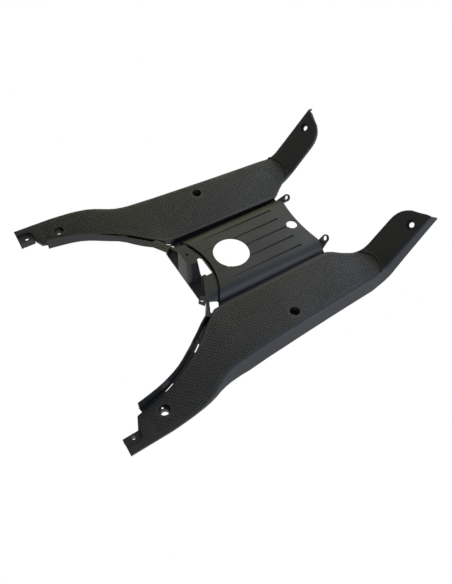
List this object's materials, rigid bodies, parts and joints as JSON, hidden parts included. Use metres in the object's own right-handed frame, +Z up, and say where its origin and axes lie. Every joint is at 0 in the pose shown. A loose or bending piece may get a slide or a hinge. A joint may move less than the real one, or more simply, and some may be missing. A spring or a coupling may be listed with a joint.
{
  "type": "scooter floorboard",
  "caption": "One-piece moulded scooter floorboard: two treaded footboards with upturned front legs, long rear tails and a grooved centre bridge with a filler opening.",
  "frame": {"origin": "on the ground plane below the middle of the part's box, midway between the two skirts", "axes": "+Z up, +Y toward the front of the scooter, where the legs turn up, +X to the rider's right"},
  "size_m": [0.442, 0.5722, 0.1109],
  "materials": {
    "moulding": "black moulded polypropylene, fine grain on the footboards"
  },
  "bodies": {
    "root": {"floorboard": "moulding"}
  },
  "joints": []
}
